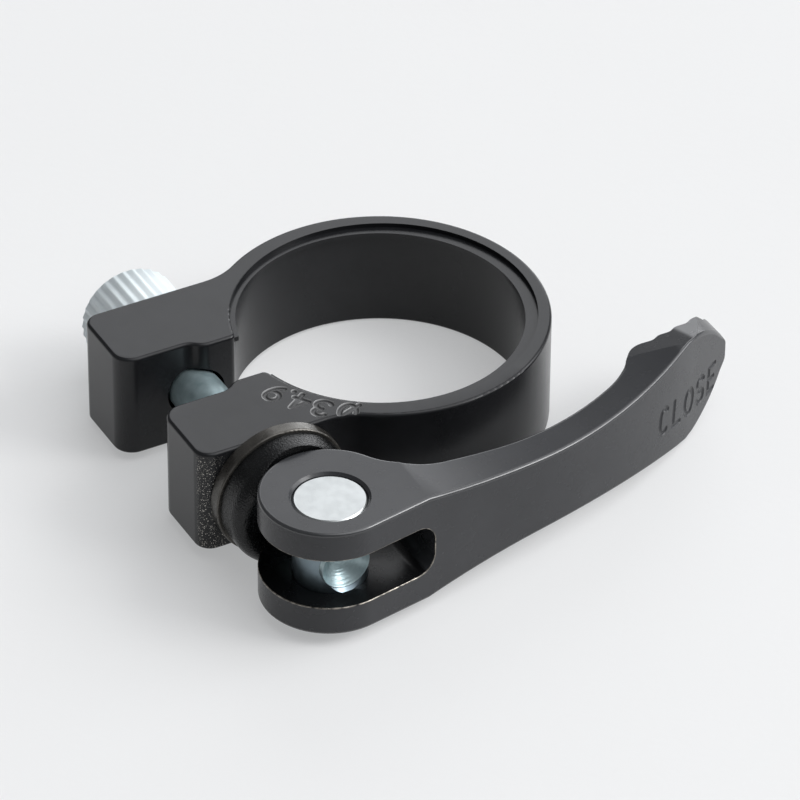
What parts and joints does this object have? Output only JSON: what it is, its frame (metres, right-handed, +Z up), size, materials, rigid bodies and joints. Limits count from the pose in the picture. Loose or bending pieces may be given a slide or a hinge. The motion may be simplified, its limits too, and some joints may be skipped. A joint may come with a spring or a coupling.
{
  "type": "quick-release seatpost clamp",
  "caption": "Split collar for a bicycle seat tube with thick ears, closed by a skewer, a cam lever with a flared finger paddle and a knurled thumb nut.",
  "frame": {"origin": "centre of the seat tube's bore on the collar's lower face", "axes": "+Z up along the seat tube, +Y along the skewer towards the thumb nut, -X from the bore towards the ears"},
  "size_m": [0.0684, 0.0599, 0.0166],
  "materials": {
    "black_anodised": "black satin anodising",
    "black_forged": "black satin anodising over a forged skin",
    "washer_steel": "plain turned steel",
    "black_saddle": "rough black coating",
    "zinc_steel": "bright zinc plating with turning marks",
    "nut_zinc": "zinc plating, straight knurl"
  },
  "bodies": {
    "collar": {"collar": "black_anodised", "flat_washer": "washer_steel", "saddle_washer": "black_saddle"},
    "skewer": {"skewer": "zinc_steel", "pivot_pin": "zinc_steel"},
    "lever": {"lever": "black_forged"},
    "nut": {"adjuster_nut": "nut_zinc"}
  },
  "joints": [
    {"name": "skewer_slide", "type": "slide", "parent": "collar", "child": "skewer", "axis": [0, 1, 0], "range_m": [0, 0.0011]},
    {"name": "lever_hinge", "type": "hinge", "parent": "skewer", "child": "lever", "pos_m": [-0.0219, -0.02883, 0.0068], "axis": [0, 0, -1], "range_deg": [0, 180]},
    {"name": "nut_turn", "type": "hinge", "parent": "skewer", "child": "nut", "pos_m": [-0.0219, 0.0155, 0.0068], "axis": [0, 1, 0], "continuous": true}
  ],
  "couplings": [
    {"joint": "skewer_slide", "follows": "lever_hinge", "m_per_rad": 0.00035}
  ]
}
